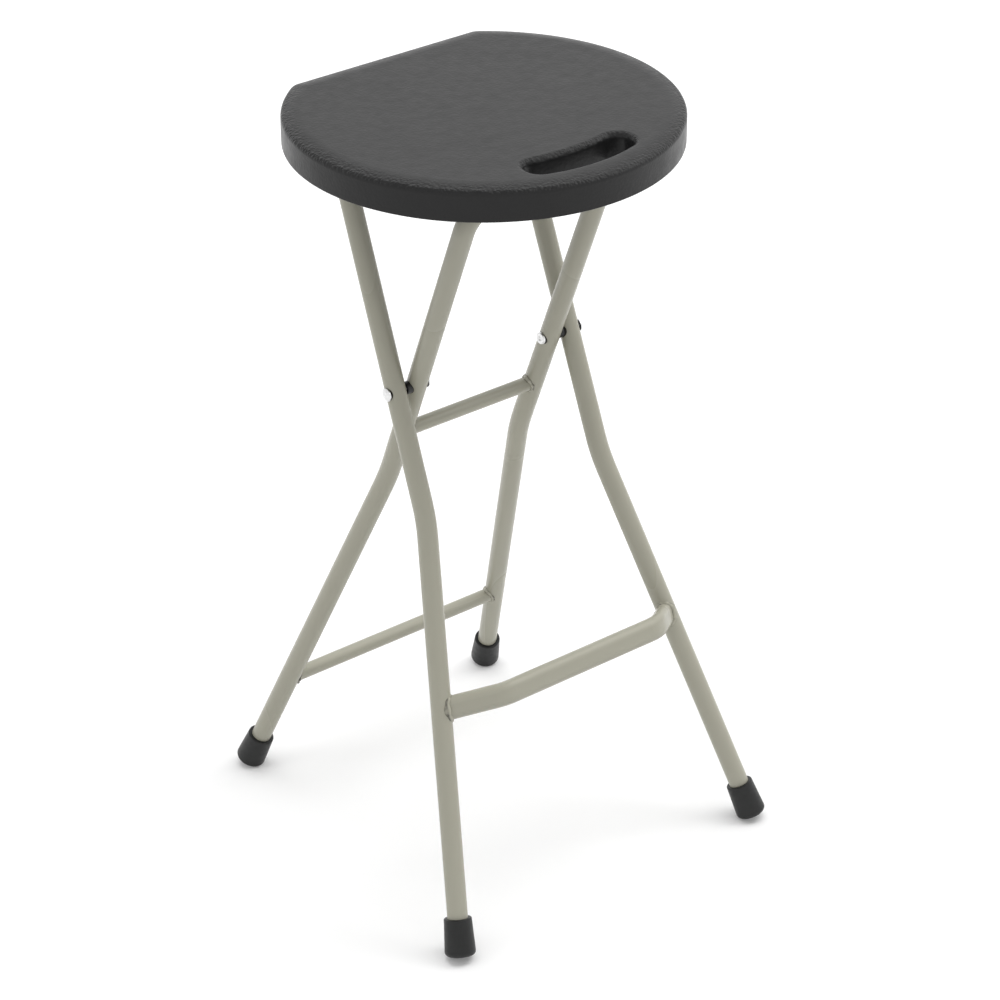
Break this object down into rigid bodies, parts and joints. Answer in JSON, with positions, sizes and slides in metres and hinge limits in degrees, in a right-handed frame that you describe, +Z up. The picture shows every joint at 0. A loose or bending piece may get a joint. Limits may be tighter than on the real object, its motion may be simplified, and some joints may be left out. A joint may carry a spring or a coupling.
{
  "type": "folding stool",
  "caption": "Tall folding stool: round moulded seat with a straight back edge and hand slot on two crossed tube frames, with a bowed footrest and rubber feet.",
  "frame": {"origin": "on the floor, in the middle of the footprint, below the pivot of the two frames", "axes": "+Z up, -Y to the front (hand slot and footrest), +X to the stool's side"},
  "size_m": [0.3962, 0.4178, 0.7546],
  "materials": {
    "seat_plastic": "fine pebble grain, low sheen",
    "frame_paint": "satin powder coat",
    "foot_rubber": "smooth, slightly shiny",
    "spacer_plastic": "smooth",
    "rivet_steel": "bright zinc plate",
    "zinc_steel": "zinc plate",
    "screw_steel": "zinc plate"
  },
  "bodies": {
    "outer_frame": {"outer_frame_tube": "frame_paint", "footrest_bar": "frame_paint", "front_foot_cap_left": "foot_rubber", "front_foot_cap_right": "foot_rubber", "pivot_rivet_left": "rivet_steel", "pivot_rivet_right": "rivet_steel"},
    "inner_frame": {"inner_frame_tube": "frame_paint", "upper_crossbar": "frame_paint", "lower_crossbar": "frame_paint", "rear_foot_cap_left": "foot_rubber", "rear_foot_cap_right": "foot_rubber", "pivot_spacer_left": "spacer_plastic", "pivot_spacer_right": "spacer_plastic"},
    "seat": {"seat_shell": "seat_plastic", "hinge_strap_left": "zinc_steel", "hinge_strap_right": "zinc_steel", "hinge_strap_screws": "screw_steel", "rail_clip_left": "zinc_steel", "rail_clip_right": "zinc_steel", "rail_clip_screws": "screw_steel"}
  },
  "joints": [
    {"name": "fold", "type": "hinge", "parent": "outer_frame", "child": "inner_frame", "pos_m": [0, 0, 0.496], "axis": [-1, 0, 0], "range_deg": [0, 38]},
    {"name": "seat_flip", "type": "hinge", "parent": "outer_frame", "child": "seat", "pos_m": [0, 0.086, 0.71135], "axis": [-1, 0, 0], "range_deg": [0, 110]}
  ],
  "couplings": [
    {"joint": "seat_flip", "follows": "fold", "ratio": 2.8947}
  ]
}
